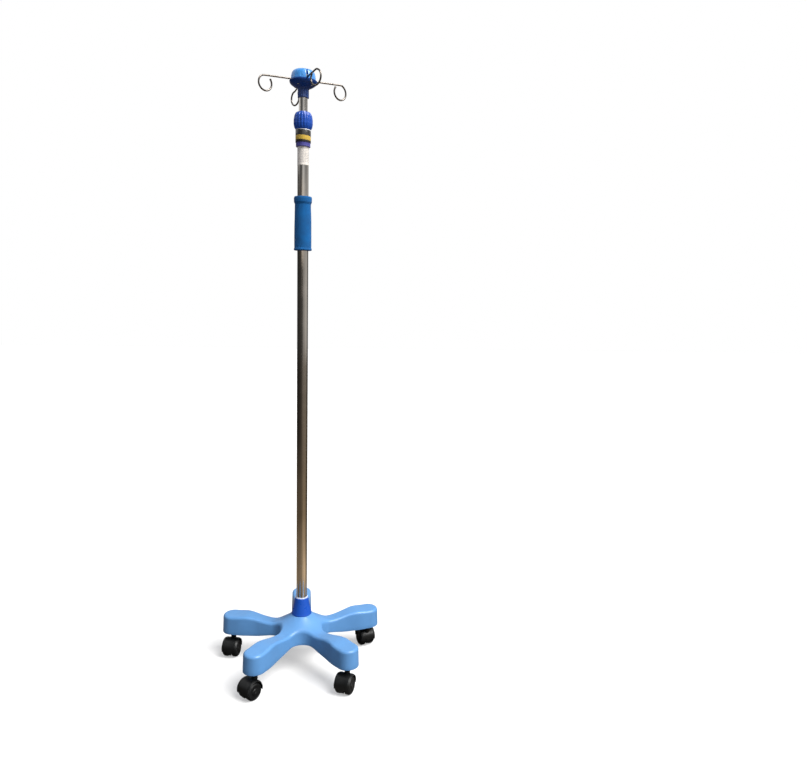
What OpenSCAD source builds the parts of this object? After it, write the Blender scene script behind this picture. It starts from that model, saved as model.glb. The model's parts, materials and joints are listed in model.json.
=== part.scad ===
// Drip stand: a five-arm base on twin-wheel casters, a telescopic mast with a
// twist lock, and a head with four folding bag hooks.
// Frame: origin on the floor on the mast's axis, +Z up, +X to the right, +Y to the back.

/* [Base] */
// Radius of the circle that the caster stems stand on
stem_circle_r = 222; // [200:1:240]
// Direction of the first arm, counted from +X
first_arm_angle = 18; // [0:1:72]
// Half width of an arm along its straight part
arm_half_width = 23; // [20:1:26]
// Half width of an arm's rounded end
tip_half_width = 31; // [28:1:34]
// Wall of the moulded cover
shell_wall = 3; // [2:0.5:4]
// Radius that rounds the cover's upper edge
edge_round = 9; // [6:1:10]
// Height of the cover's lower edge at the arm ends
rim_z = 75; // [75:1:78]
// Rise of the lower edge between the arms
rim_arch = 9; // [4:1:12]
// Height of the cover's top at the mast
crown_z = 154; // [148:1:158]
// Height of the arm's top at its lowest point
dip_z = 121; // [118:1:124]
// Height of the arm's top over the shoulder before its end
shoulder_z = 134; // [130:1:136]

/* [Casters] */
// Radius of a caster wheel
wheel_r = 25; // [24:0.5:25]
// Width of one wheel
wheel_width = 17; // [15:0.1:17.4]
// Distance between the swivel axis and the wheels' axle
caster_trail = 17; // [15:1:20]
// Width of the web between the two wheels
web_width = 13; // [12:0.5:13]
// Radius of the caster stem
stem_r = 5.5; // [5:0.1:5.6]
// Direction of the axle of each caster, counted from +X
caster_yaw = [-160, -40, -15, -45, -26];

/* [Mast] */
// Radius of the outer tube
outer_tube_r = 16; // [15:0.5:17]
// Wall of the outer tube
outer_tube_wall = 1.2; // [1:0.1:1.5]
// Radius of the inner tube
inner_tube_r = 12.5; // [12:0.1:12.7]
// Wall of the inner tube
inner_tube_wall = 1; // [0.8:0.1:1.2]
// Height of the inner tube's lower end
inner_tube_low_z = 840; // [800:10:900]

/* [Grip and lock] */
// Height of the foam grip's lower end
grip_low_z = 1253; // [1200:1:1300]
// Length of the foam grip
grip_length = 152; // [120:1:160]
// Height where the lock's body begins
lock_low_z = 1543; // [1538:1:1543]
// Height where the lock's knob begins
knob_low_z = 1590; // [1588:1:1592]
// Height of the lock's knob
knob_height = 48; // [46:1:50]
// Widest radius of the lock's knob
knob_r = 27; // [25:0.5:29]
// Number of flutes round the knob
knob_flutes = 18; // [12:1:20]

/* [Head] */
// Height of the neck sleeve's lower end
neck_low_z = 1676; // [1674:1:1680]
// Height of the flange that the hooks rest on
flange_z = 1722.3; // [1720:0.1:1724]
// Radius of the flange
flange_r = 39; // [37:0.5:41]
// Radius of the cap
cap_r = 35; // [34:0.5:36]
// Height of the cap's top
cap_top_z = 1751; // [1749:1:1758]
// Turn of each hook, counted from +X
hook_angles = [12.7, 102.7, 192.7, 288];

/* [Hooks] */
// Radius of the hook's wire
wire_r = 2.4; // [2:0.1:2.5]
// Distance of a hook's pivot from the mast's axis
pivot_radius = 20; // [19:0.5:21]
// Distance of the loop's centre from the mast's axis
loop_reach = 107; // [100:1:120]
// Radius of the loop's wire line
loop_r = 20.5; // [18:0.5:22]
// Sweep of the loop from the arm to its tip
loop_sweep = 305; // [270:5:310]
// Turn of the loop out of the arm's own plane, so that its tip passes beside the arm
loop_turn = 21; // [0:1:30]

/* [Hidden] */
$fn = 64;

arms = 5;
arm_step = 360 / arms;
half_step = arm_step / 2;
play = 0.05;         // gap between a pressed or glued piece and its seat
run_gap = 0.3;       // gap between pieces that move past each other
eps = 0.01;

// Base cover
valley_round = 41;        // radius of the fillet between two arms
crown_r = 30;             // radius of the flat crown round the mast
dip_r = 92;               // distance from the axis to the lowest point of an arm's top
shoulder_r = 178;         // distance from the axis to the shoulder
end_drop = 3;             // fall of the arm's top beyond the shoulder
wall_draft = 1.6;         // how far the side wall leans out towards its lower edge
rim_round = 1;            // rounding of the lower edge
crown_hole_r = 17;
collar_top_z = 205;
fillet_centre = (arm_half_width + valley_round) / sin(half_step);
straight_from = fillet_centre * cos(half_step);
flare_from = 130;
flare_to = 200;
tip_steps = 5;
edge_steps = 6;
fillet_steps = 4;

// Base frame
frame_floor_z = 88;
boss_r = 23;
boss_top_z = 150.7;
tube_low_z = 100;
rib_low_z = 87;
rib_top_z = 107;
rib_wall = 3;
hub_r = 52;
arm_foot = 5;             // thickness of the foot that joins an arm to the hub
socket_r = 12;
socket_low_z = 76.6;
socket_top_z = 116;
sleeve_r = 8;
sleeve_flange_r = 10.5;
frame_screw_r = 137;

// Casters
axle_r = 3;
hood_wall = 3;
hood_gap = 1.5;
hood_rise = 3;            // how far the hood's centre stands above the axle
hood_r = wheel_r + hood_gap + hood_wall;
hood_width = 48;
boss_length = 27;
boss_width = 15;
hood_top_z = 74.6;
stem_top_z = 108;
groove_z = 97;
groove_r = 4.4;
wheel_inner_y = web_width / 2 + 0.6;

// Mast
inner_tube_top_z = 1712;
inner_bore_r = inner_tube_r - inner_tube_wall;
outer_bore_r = outer_tube_r - outer_tube_wall;
outer_tube_top_z = 1586;
guide_length = 34;
clip_height = 2;

// Lock
lock_r = 21.5;
lock_foot_r = 20.5;
lock_foot_height = 11;
thread_r = 19;
thread_top_z = knob_low_z + 22;
band_wall = 0.2;

// Head
neck_r = 15;
neck_bore_r = inner_tube_r + play;
cap_floor_z = flange_z + eps;
screw_ring_r = 26;
screw_seat_z = 1709;

// Hooks
pivot_z = flange_z + run_gap + wire_r + 5;
arm_z = pivot_z - 5;
eye_r = 5;
eye_sweep = 280;
pin_r = 2.5;
pin_half = 9;
slot_width = 2 * wire_r + 1.2;
tip_ball_r = wire_r + 0.6;

function smooth(t) = let (u = min(max(t, 0), 1)) u * u * (3 - 2 * u);
function mix(a, b, t) = a + (b - a) * t;
function on_circle(r, a) = [r * cos(a), r * sin(a)];

// ---------- base cover ----------

// Half of an arm's outline, from the tip to the middle of the valley.
function tip_points() =
  [for (i = [0:tip_steps - 1]) let (a = 90 * i / tip_steps)
    [stem_circle_r + tip_half_width * cos(a), tip_half_width * sin(a)]];
function edge_points() =
  [for (i = [0:edge_steps - 1]) let (x = mix(stem_circle_r, straight_from, i / edge_steps))
    [x, mix(arm_half_width, tip_half_width, smooth((x - flare_from) / (flare_to - flare_from)))]];
function fillet_points() =
  [for (i = [0:fillet_steps]) let (a = -90 - (90 - half_step) * i / fillet_steps)
    on_circle(fillet_centre, half_step) + on_circle(valley_round, a)];
function half_arm() = concat(tip_points(), edge_points(), fillet_points());
function mirrored(points) = [for (p = points) [p[0], -p[1]]];
function reversed(points) = [for (i = [len(points) - 1:-1:0]) points[i]];
function turned(p, a) = [p[0] * cos(a) - p[1] * sin(a), p[0] * sin(a) + p[1] * cos(a)];
// One whole arm, clockwise valley to counter-clockwise valley, without the last point.
function arm_outline() =
  let (half = half_arm(), n = len(half))
  concat(reversed(mirrored([for (i = [1:n - 1]) half[i]])), [for (i = [0:n - 2]) half[i]]);
function star_outline() =
  [for (k = [0:arms - 1]) for (p = arm_outline()) turned(p, first_arm_angle + k * arm_step)];
function unit(v) = v / norm(v);
function outline_normals(points) =
  let (n = len(points))
  [for (i = [0:n - 1]) let (d = unit(points[(i + 1) % n] - points[(i + n - 1) % n])) [d[1], -d[0]]];

// Height of the cover's top over a point at distance r from the axis.
function top_z(r) =
  dip_z
  + (crown_z - dip_z) * pow(min(max((dip_r - r) / (dip_r - crown_r), 0), 1), 1.6)
  + (shoulder_z - dip_z) * smooth((r - dip_r) / (shoulder_r - dip_r))
  - end_drop * smooth((r - shoulder_r) / 40);
// Height of the cover's lower edge at distance r.
function rim_height(r) = rim_z + rim_arch * smooth((150 - r) / 75);

// The outline moved in by inset, at a height below the top.
function skin_ring(points, normals, inset, drop) =
  [for (i = [0:len(points) - 1])
    let (p = points[i] - inset * normals[i])
    [p[0], p[1], top_z(norm(p)) - drop]];
// The outline moved in by inset, at a height above the lower edge.
function rim_ring(points, normals, inset, raise) =
  [for (i = [0:len(points) - 1])
    let (p = points[i] - inset * normals[i])
    [p[0], p[1], rim_height(norm(points[i])) + raise]];
// The outline moved in by the edge's rounding, then drawn a part t of the way to the crown's hole.
function roof_ring(points, normals, drop, t) =
  [for (i = [0:len(points) - 1])
    let (p = points[i] - edge_round * normals[i], q = mix(p, crown_hole_r * unit(p), t))
    [q[0], q[1], top_z(norm(q)) - drop]];

roof_steps = [0.97, 0.9, 0.78, 0.6, 0.42, 0.2];
function skin_rings() =
  let (
    o = star_outline(),
    n = outline_normals(o),
    w = shell_wall
  )
  concat(
    [roof_ring(o, n, 0, 1)],
    [for (t = roof_steps) roof_ring(o, n, 0, t)],
    [for (a = [90:-30:0]) skin_ring(o, n, edge_round * (1 - cos(a)), edge_round * (1 - sin(a)))],
    [rim_ring(o, n, -wall_draft, rim_round)],
    [rim_ring(o, n, rim_round - wall_draft, 0)],
    [rim_ring(o, n, w - wall_draft, 0)],
    [for (a = [0:45:45])
      skin_ring(o, n, w + (edge_round - w) * (1 - cos(a)), w + (edge_round - w) * (1 - sin(a)))],
    [roof_ring(o, n, w, 0)],
    [for (t = reversed(roof_steps)) roof_ring(o, n, w, t)],
    [roof_ring(o, n, w, 1)]
  );
function ring_faces(count, rings) =
  [for (j = [0:rings - 1]) for (i = [0:count - 1])
    let (
      a = j * count + i,
      b = j * count + (i + 1) % count,
      c = ((j + 1) % rings) * count + (i + 1) % count,
      d = ((j + 1) % rings) * count + i
    )
    each [[a, b, c], [a, c, d]]];

module base_shell() {
  rings = skin_rings();
  color([0.45, 0.70, 0.96])
  polyhedron(
    points = [for (ring = rings) each ring],
    faces = ring_faces(len(rings[0]), len(rings)),
    convexity = 10);
}

// ---------- base frame and what it holds ----------

module at_arms() {
  for (k = [0:arms - 1])
    rotate([0, 0, first_arm_angle + k * arm_step]) children();
}

// Axes of the screws that hold each arm to the hub, pointing outwards.
module at_arm_screws() {
  at_arms() for (y = [-8, 8])
    translate([0, y, (rib_low_z + rib_top_z) / 2]) rotate([0, 90, 0]) children();
}

module frame_hub() {
  color([0.30, 0.34, 0.40])
  difference() {
    union() {
      translate([0, 0, frame_floor_z]) cylinder(r = boss_r, h = boss_top_z - frame_floor_z);
      difference() {
        translate([0, 0, rib_low_z]) cylinder(r = hub_r, h = rib_top_z - rib_low_z);
        translate([0, 0, rib_low_z - 1]) cylinder(r = hub_r - rib_wall, h = rib_top_z);
      }
      at_arms() translate([boss_r - 2, -rib_wall / 2, rib_low_z])
        cube([hub_r - boss_r, rib_wall, rib_top_z - rib_low_z]);
    }
    translate([0, 0, tube_low_z]) cylinder(r = outer_tube_r + play, h = boss_top_z);
    translate([0, 0, frame_floor_z - 1]) cylinder(r = 6.4, h = 20);
    at_arm_screws() translate([0, 0, hub_r - 10]) cylinder(r = 1.5 + play, h = 12);
  }
}

module frame_arm() {
  translate([hub_r - 3, -12, rib_low_z]) cube([arm_foot + 3, 24, rib_top_z - rib_low_z - 2]);
  translate([hub_r + 1, -rib_wall / 2, rib_low_z])
    cube([stem_circle_r - socket_r - hub_r + 1, rib_wall, rib_top_z - rib_low_z]);
  for (x = [92, 122, 152, 182])
    translate([x - rib_wall / 2, 3 - arm_half_width, rib_low_z])
      cube([rib_wall, 2 * arm_half_width - 6, rib_top_z - rib_low_z - 2]);
  translate([stem_circle_r, 0, socket_low_z])
    cylinder(r = socket_r, h = socket_top_z - socket_low_z);
  translate([frame_screw_r, 0, rib_low_z])
    cylinder(r = 5, h = rib_top_z - rib_low_z);
}

module frame_arms() {
  color([0.30, 0.34, 0.40])
  difference() {
    at_arms() frame_arm();
    translate([0, 0, rib_low_z - 1]) cylinder(r = hub_r + play, h = rib_top_z);
    at_arm_screws() translate([0, 0, hub_r - 5]) cylinder(r = 1.5 + play, h = arm_foot + 8);
    at_arms() {
      translate([stem_circle_r, 0, socket_low_z - 1])
        cylinder(r = sleeve_r + play, h = 37);
      translate([frame_screw_r, 0, rib_low_z - 1]) cylinder(r = 2.1, h = 18);
    }
  }
}

// Five screws under the arms hold the cover, and ten hold the arms to the hub.
module frame_screws() {
  color("silver") {
    at_arms() translate([frame_screw_r, 0, rib_low_z - 2.6])
      difference() {
        union() {
          cylinder(r = 4, h = 2.6);
          cylinder(r = 2.1 - play, h = 17);
        }
        translate([-3, -0.5, -1]) cube([6, 1, 2]);
        translate([-0.5, -3, -1]) cube([1, 6, 2]);
      }
    at_arm_screws() {
      translate([0, 0, hub_r - 5]) cylinder(r = 1.5, h = arm_foot + 5.2);
      translate([0, 0, hub_r + arm_foot + 0.1]) cylinder(r = 3, h = 2);
    }
  }
}

module stem_sockets() {
  color("gainsboro")
  at_arms() translate([stem_circle_r, 0, 0])
    difference() {
      union() {
        translate([0, 0, socket_low_z]) cylinder(r = sleeve_r, h = 35);
        translate([0, 0, socket_low_z - 1.5]) cylinder(r = sleeve_flange_r, h = 1.5);
      }
      translate([0, 0, socket_low_z - 2]) cylinder(r = stem_r + 0.08, h = 40);
    }
}

module grip_rings() {
  color("silver")
  at_arms() translate([stem_circle_r, 0, groove_z])
    rotate([0, 0, 30]) rotate_extrude(angle = 300)
      translate([groove_r + 0.1, 0.3]) square([stem_r - groove_r - 0.05, 2.4]);
}

module pole_bolt() {
  color("silver") {
    translate([0, 0, frame_floor_z - 12.6]) cylinder(r = 10.97, h = 7.5, $fn = 6);
    translate([0, 0, frame_floor_z - 5.1 - eps]) cylinder(r = 5.95, h = 42);
  }
}

module bolt_washers() {
  color("darkgray") {
    translate([0, 0, frame_floor_z - 2.5])
      difference() {
        cylinder(r = 12, h = 2.4);
        translate([0, 0, -1]) cylinder(r = 6.2, h = 5);
      }
    // Split spring washer.
    translate([0, 0, frame_floor_z - 5])
      difference() {
        cylinder(r = 9.5, h = 2.4);
        translate([0, 0, -1]) cylinder(r = 6.2, h = 5);
        translate([5.5, -0.8, -1]) cube([5, 1.6, 5]);
      }
  }
}

module tube_plug() {
  color("dimgray")
  translate([0, 0, tube_low_z])
    difference() {
      cylinder(r = outer_bore_r - play, h = 30);
      translate([0, 0, -1]) cylinder(r = 6, h = 32);
    }
}

module base_collar() {
  color([0.14, 0.31, 0.80])
  rotate_extrude()
    polygon([[27.4, crown_z], [30.6, crown_z], [30.6, crown_z + 3], [29.8, crown_z + 5],
      [20.6, collar_top_z - 1.5], [19.6, collar_top_z], [17.9, collar_top_z],
      [17.9, collar_top_z - 3], [26.8, crown_z + 4]]);
}

module collar_liner() {
  color("white")
  rotate_extrude()
    polygon([[outer_tube_r + play, crown_z], [17.6, crown_z], [17.6, collar_top_z + 0.1],
      [19, collar_top_z + 0.1], [19, collar_top_z + 1.6], [18.2, collar_top_z + 2.4],
      [outer_tube_r + play, collar_top_z + 2.4]]);
}

// ---------- mast ----------

module tube(r, wall, low, top) {
  translate([0, 0, low])
    difference() {
      cylinder(r = r, h = top - low);
      translate([0, 0, -1]) cylinder(r = r - wall, h = top - low + 2);
    }
}

module outer_tube() {
  color([0.72, 0.70, 0.67])
  tube(outer_tube_r, outer_tube_wall, tube_low_z, outer_tube_top_z);
}

module foam_grip() {
  color([0.08, 0.40, 0.68])
  translate([0, 0, grip_low_z])
    rotate_extrude()
      polygon([[outer_tube_r + play, 1], [outer_tube_r + 1, 0], [25.2, 0], [26, 1.5],
        [25.8, 4.5], [24.6, 7.5], [24.8, 40], [24.4, 80], [23.4, 120],
        [23.3, grip_length - 21], [24.4, grip_length - 17.5], [26, grip_length - 15],
        [26.2, grip_length - 6], [25.7, grip_length - 1.5], [24.8, grip_length],
        [outer_tube_r + 1, grip_length], [outer_tube_r + play, grip_length - 1]]);
}

module info_label() {
  color("white")
  // Its two edges leave a gap at the back.
  translate([0, 0, lock_low_z - 51])
    rotate([0, 0, 105]) rotate_extrude(angle = 330)
      translate([outer_tube_r + play, 0]) square([0.2, 50.5]);
}

// ---------- lock ----------

module lock_body() {
  color([0.16, 0.17, 0.20])
  difference() {
    union() {
      translate([0, 0, lock_low_z]) cylinder(r = lock_foot_r, h = lock_foot_height);
      translate([0, 0, lock_low_z + lock_foot_height])
        cylinder(r = lock_r, h = knob_low_z - lock_low_z - lock_foot_height - run_gap);
      translate([0, 0, knob_low_z - 1]) cylinder(r = thread_r, h = thread_top_z - knob_low_z + 1);
    }
    translate([0, 0, lock_low_z - 1])
      cylinder(r = outer_tube_r + play, h = outer_tube_top_z - lock_low_z + 1 + play);
    translate([0, 0, lock_low_z]) cylinder(r = inner_tube_r + 0.6, h = 100);
    translate([0, 0, knob_low_z + 12]) cylinder(r = 15.4, h = 20);
    at_rivets() cylinder(r = 2 + play, h = 30);
    at_rivets() translate([0, 0, lock_foot_r - 0.6]) cylinder(r = 3.6 + play, h = 10);
  }
}

// The rivets' axes point outwards, one on each side of the back.
module at_rivets() {
  for (a = [50, 130])
    rotate([0, 0, a]) translate([0, 0, lock_low_z + 5.5]) rotate([0, 90, 0]) children();
}

module lock_rivets() {
  color("silver")
  at_rivets() {
    translate([0, 0, outer_tube_r + 0.4]) cylinder(r = 2, h = lock_foot_r - outer_tube_r - 0.6);
    translate([0, 0, lock_foot_r - 0.5]) cylinder(r = 3.6, h = 1.1);
  }
}

module band_sleeve() {
  color([0.85, 0.68, 0.20])
  translate([0, 0, lock_low_z + lock_foot_height + 0.3])
    difference() {
      cylinder(r = lock_r + play + band_wall, h = 35);
      translate([0, 0, -1]) cylinder(r = lock_r + play, h = 40);
    }
}

module collet() {
  low = knob_low_z + 12.5;
  color("whitesmoke")
  difference() {
    rotate_extrude()
      polygon([[inner_tube_r + 0.05, low], [15.2, low], [15.2, thread_top_z + 0.3],
        [17.9, thread_top_z + 2.5], [17.9, thread_top_z + 4], [14.6, knob_low_z + 41],
        [inner_tube_r + 0.05, knob_low_z + 41]]);
    for (a = [0:60:120])
      rotate([0, 0, a]) translate([-30, -0.7, thread_top_z - 4]) cube([60, 1.4, 60]);
  }
}

module lock_knob() {
  top = knob_low_z + knob_height;
  color([0.13, 0.30, 0.78])
  difference() {
    rotate_extrude()
      polygon([[thread_r + run_gap, knob_low_z], [23.2, knob_low_z], [24.2, knob_low_z + 1.2],
        [25.8, knob_low_z + 7], [knob_r - 0.2, knob_low_z + 14], [knob_r, knob_low_z + 20],
        [knob_r - 0.4, knob_low_z + 28], [25.6, knob_low_z + 35.5], [24, knob_low_z + 41],
        [21.8, top - 3.4], [19, top - 1.2], [16, top], [inner_tube_r + 0.8, top],
        [inner_tube_r + 0.8, knob_low_z + 42], [15.2, knob_low_z + 41.4],
        [18.6, thread_top_z + 3.4], [18.6, thread_top_z + 2],
        [thread_r + run_gap, thread_top_z + 1]]);
    for (k = [0:knob_flutes - 1])
      rotate([0, 0, (k + 0.5) * 360 / knob_flutes])
        translate([knob_r + 1.6, 0, knob_low_z + 2.5])
          cylinder(r = 2.9, h = knob_height);
  }
}

// ---------- what slides in the mast ----------

module guide_bush() {
  color("whitesmoke")
  tube(outer_bore_r - 0.08, outer_bore_r - inner_tube_r - 0.13,
    inner_tube_low_z + 4, inner_tube_low_z + 4 + guide_length);
}

module bush_clip() {
  low = inner_tube_low_z + 4.3 + guide_length;
  color("silver")
  rotate([0, 0, 20])
    rotate_extrude(angle = 320)
      translate([inner_tube_r + play, low]) square([1.5, clip_height]);
}

module foot_plug() {
  color("dimgray")
  rotate_extrude()
    polygon([[4, inner_tube_low_z - 3], [12.5, inner_tube_low_z - 3], [14, inner_tube_low_z - 1.5],
      [14, inner_tube_low_z], [inner_bore_r - play, inner_tube_low_z],
      [inner_bore_r - play, inner_tube_low_z + 22], [4, inner_tube_low_z + 22]]);
}

module inner_tube() {
  color([0.76, 0.74, 0.71])
  tube(inner_tube_r, inner_tube_wall, inner_tube_low_z, inner_tube_top_z);
}

// ---------- head ----------

module at_hooks() {
  for (a = hook_angles)
    rotate([0, 0, a]) children();
}

module eye_pocket() {
  translate([pivot_radius, 0, pivot_z]) rotate([90, 0, 0])
    translate([0, 0, -slot_width / 2]) cylinder(r = eye_r + wire_r + 0.6, h = slot_width);
}

module head_body() {
  color([0.20, 0.38, 0.72])
  difference() {
    union() {
      rotate_extrude()
        polygon([[0, neck_low_z + 2], [neck_r, neck_low_z + 2], [neck_r, 1699], [16.2, 1702],
          [22, 1704.5], [30, 1709], [35.5, 1713], [38, 1716.5], [flange_r, 1720],
          [flange_r, flange_z - 1], [flange_r - 1, flange_z], [0, flange_z]]);
      for (k = [0:15])
        rotate([0, 0, k * 22.5]) translate([neck_r - 1.2, -1.1, neck_low_z + (k % 2)])
          cube([1.9, 2.2, 24]);
      translate([0, 0, neck_low_z + 1]) cylinder(r = neck_r - 0.6, h = 10);
      at_hooks() for (s = [-1, 1])
        translate([pivot_radius - 2.2, s * (pin_half - 2.6) - 1.6, flange_z - 1])
          cube([4.4, 3.2, pivot_z - pin_r - flange_z + 1]);
    }
    translate([0, 0, neck_low_z - 1]) cylinder(r = neck_bore_r, h = inner_tube_top_z - neck_low_z + 1);
    rotate([0, 0, 150]) translate([0, 0, neck_low_z + 14]) rotate([0, 90, 0]) {
      cylinder(r = 2, h = 30);
      translate([0, 0, neck_r - 0.2]) cylinder(r = 3.5, h = 10);
    }
    rotate([0, 0, hook_angles[0] + 45]) for (k = [0:3])
      rotate([0, 0, 90 * k]) translate([screw_ring_r, 0, 0]) {
        translate([0, 0, screw_seat_z - 10]) cylinder(r = 3.2, h = 10);
        translate([0, 0, screw_seat_z - 1]) cylinder(r = 1.8, h = 40);
      }
  }
}

module neck_screw() {
  color("silver")
  rotate([0, 0, 150]) translate([0, 0, neck_low_z + 14]) rotate([0, 90, 0]) {
    translate([0, 0, inner_tube_r + play]) cylinder(r = 1.95, h = 2.6);
    translate([0, 0, neck_r + 0.1]) cylinder(r = 3.4, h = 1.8);
  }
}

module cap_blank() {
  rotate_extrude()
    polygon([[0, cap_floor_z], [cap_r - 0.8, cap_floor_z], [cap_r, cap_floor_z + 1.5],
      [cap_r - 0.6, cap_floor_z + 10], [cap_r - 2.4, cap_top_z - 9], [cap_r - 4.8, cap_top_z - 4.6],
      [cap_r - 8.6, cap_top_z - 1.6], [cap_r - 13, cap_top_z - 0.4], [cap_r - 18, cap_top_z],
      [0, cap_top_z]]);
}

module head_cap() {
  color([0.36, 0.60, 0.92])
  difference() {
    cap_blank();
    at_hooks() {
      // Slot for the wire, open outwards and upwards. Its inner wall stops the folded hook.
      translate([pivot_radius + eye_r - wire_r - run_gap, -slot_width / 2, cap_floor_z - 1])
        cube([40, slot_width, cap_top_z - cap_floor_z + 2]);
      eye_pocket();
      translate([pivot_radius - eye_r - wire_r - 0.6, -slot_width / 2, cap_floor_z - 1])
        cube([2 * eye_r + 3, slot_width, pivot_z - cap_floor_z + 1]);
      // Seat of the pin, open downwards.
      translate([pivot_radius - pin_r - play, -pin_half - 0.3, cap_floor_z - 1])
        cube([2 * (pin_r + play), 2 * pin_half + 0.6, pivot_z - cap_floor_z + 1]);
      translate([pivot_radius, pin_half + 0.3, pivot_z]) rotate([90, 0, 0])
        cylinder(r = pin_r + play, h = 2 * pin_half + 0.6);
      // Flutes between the hooks.
      for (a = [22.5, 45, 67.5])
        rotate([0, 0, a]) translate([cap_r + 8.2, 0, cap_floor_z + 4]) cylinder(r = 9.4, h = 60);
    }
    rotate([0, 0, hook_angles[0] + 45]) for (k = [0:3])
      rotate([0, 0, 90 * k]) translate([screw_ring_r, 0, cap_floor_z - 1])
        cylinder(r = 1.4, h = 16);
  }
}

module cap_screws() {
  color("silver")
  rotate([0, 0, hook_angles[0] + 45]) for (k = [0:3])
    rotate([0, 0, 90 * k]) translate([screw_ring_r, 0, 0]) {
      translate([0, 0, screw_seat_z - 1]) cylinder(r = 1.35, h = 28);
      translate([0, 0, screw_seat_z - 2]) cylinder(r = 3, h = 2);
    }
}

module hook_pins() {
  color("silver")
  at_hooks() translate([pivot_radius, pin_half, pivot_z]) rotate([90, 0, 0])
    cylinder(r = pin_r, h = 2 * pin_half);
}

// ---------- hooks ----------

// A bent wire: an open eye round its pin and a straight arm outwards, in the vertical plane
// through the mast's axis, and an open loop that curls down and back, turned out of that plane.
module hook_wire() {
  translate([pivot_radius, 0, pivot_z]) rotate([90, 0, 0])
    rotate([0, 0, -90 - eye_sweep]) rotate_extrude(angle = eye_sweep)
      translate([eye_r, 0]) circle(r = wire_r);
  translate([pivot_radius, 0, arm_z]) rotate([0, 90, 0])
    cylinder(r = wire_r, h = loop_reach - pivot_radius);
  translate([loop_reach, 0, arm_z]) sphere(r = wire_r);
  translate([loop_reach, 0, arm_z - loop_r]) rotate([0, 0, loop_turn]) rotate([90, 0, 0]) {
    rotate([0, 0, 90 - loop_sweep]) rotate_extrude(angle = loop_sweep)
      translate([loop_r, 0]) circle(r = wire_r);
    rotate([0, 0, 90 - loop_sweep]) translate([loop_r, 0, 0]) sphere(r = tip_ball_r);
  }
}

module hook(k) {
  color("silver") rotate([0, 0, hook_angles[k]]) hook_wire();
}
module hook_right() { hook(0); }
module hook_back() { hook(1); }
module hook_left() { hook(2); }
module hook_front() { hook(3); }

// ---------- casters ----------

// Caster k in place: its axle lies along the local X, and its wheels trail along -Y.
module at_caster(k) {
  rotate([0, 0, first_arm_angle + k * arm_step]) translate([stem_circle_r, 0, 0])
    rotate([0, 0, caster_yaw[k] - first_arm_angle - k * arm_step]) children();
}

module caster_stem(k) {
  color("silver")
  at_caster(k) difference() {
    union() {
      translate([0, 0, 54]) cylinder(r = stem_r, h = stem_top_z - 55.5);
      translate([0, 0, stem_top_z - 1.5]) cylinder(r1 = stem_r, r2 = stem_r - 1.5, h = 1.5);
    }
    translate([0, 0, groove_z])
      difference() {
        cylinder(r = stem_r + 1, h = 3);
        translate([0, 0, -1]) cylinder(r = groove_r, h = 5);
      }
  }
}

// Side view of the hood's web, in the plane of the swivel and the trail.
module web_profile() {
  translate([-caster_trail, wheel_r + hood_rise]) circle(r = hood_r - 1.2);
  translate([-boss_length / 2 + 1, wheel_r]) square([boss_length - 2, hood_top_z - wheel_r - 8]);
}

module caster_hood(k) {
  color([0.10, 0.10, 0.11])
  at_caster(k) difference() {
    union() {
      rotate([90, 0, 90]) translate([0, 0, -web_width / 2])
        linear_extrude(height = web_width) web_profile();
      // Neck round the stem.
      hood_neck();
      // Cover over both wheels.
      translate([-hood_width / 2, -caster_trail, wheel_r + hood_rise]) rotate([0, 90, 0])
        rotate([0, 0, 90]) difference() {
          cylinder(r = hood_r, h = hood_width);
          translate([0, 0, -1]) cylinder(r = hood_r - hood_wall, h = hood_width + 2);
          translate([-60, -120 - 6, -1]) cube([120, 120, hood_width + 2]);
        }
    }
    translate([0, 0, 53.9]) cylinder(r = stem_r + eps, h = 30);
    translate([-30, -caster_trail, wheel_r]) rotate([0, 90, 0]) cylinder(r = axle_r + eps, h = 60);
    // The web ends above the floor.
    translate([-30, -60, -20]) cube([60, 90, 26]);
  }
}

module hood_neck() {
  flat = boss_length - boss_width;
  low = wheel_r + 25;
  translate([-boss_width / 2, -flat / 2, low]) cube([boss_width, flat, hood_top_z - low]);
  for (s = [-1, 1])
    translate([0, s * flat / 2, low]) cylinder(r = boss_width / 2, h = hood_top_z - low);
}

module caster_axle(k) {
  color("silver")
  at_caster(k) translate([-20.4, -caster_trail, wheel_r]) rotate([0, 90, 0])
    cylinder(r = axle_r, h = 40.8);
}

module caster_wheel(k, side) {
  color([0.07, 0.07, 0.08])
  at_caster(k) translate([0, -caster_trail, wheel_r]) rotate([0, 90 * side, 0])
    translate([0, 0, wheel_inner_y]) rotate_extrude()
      polygon([[axle_r + 0.05, 0], [8, 0], [8, 1.2], [20, 1.2], [20.4, 0], [wheel_r - 1.6, 0],
        [wheel_r - 0.4, 0.7], [wheel_r, 2], [wheel_r, wheel_width - 6],
        [wheel_r - 0.8, wheel_width - 4], [wheel_r - 2.4, wheel_width - 2.2],
        [wheel_r - 4.6, wheel_width - 0.9], [17.6, wheel_width], [16.6, wheel_width - 1.4],
        [9, wheel_width - 1.8], [8, wheel_width - 0.6], [0, wheel_width - 0.4],
        [0, 13.6], [axle_r + 0.05, 13.6]]);
}

base_shell();
frame_hub();
frame_arms();
frame_screws();
stem_sockets();
grip_rings();
pole_bolt();
bolt_washers();
tube_plug();
base_collar();
collar_liner();
outer_tube();
foam_grip();
info_label();
lock_body();
band_sleeve();
collet();
lock_rivets();
lock_knob();
guide_bush();
bush_clip();
foot_plug();
inner_tube();
head_body();
neck_screw();
head_cap();
cap_screws();
hook_pins();
hook_right();
hook_back();
hook_left();
hook_front();
for (k = [0:arms - 1]) {
  caster_stem(k);
  caster_hood(k);
  caster_axle(k);
  caster_wheel(k, 1);
  caster_wheel(k, -1);
}
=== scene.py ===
"""Drip stand on casters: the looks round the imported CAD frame. Lengths are in metres."""

import json
from math import atan2, cos, pi, radians, sin, sqrt, tan, tau

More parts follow.
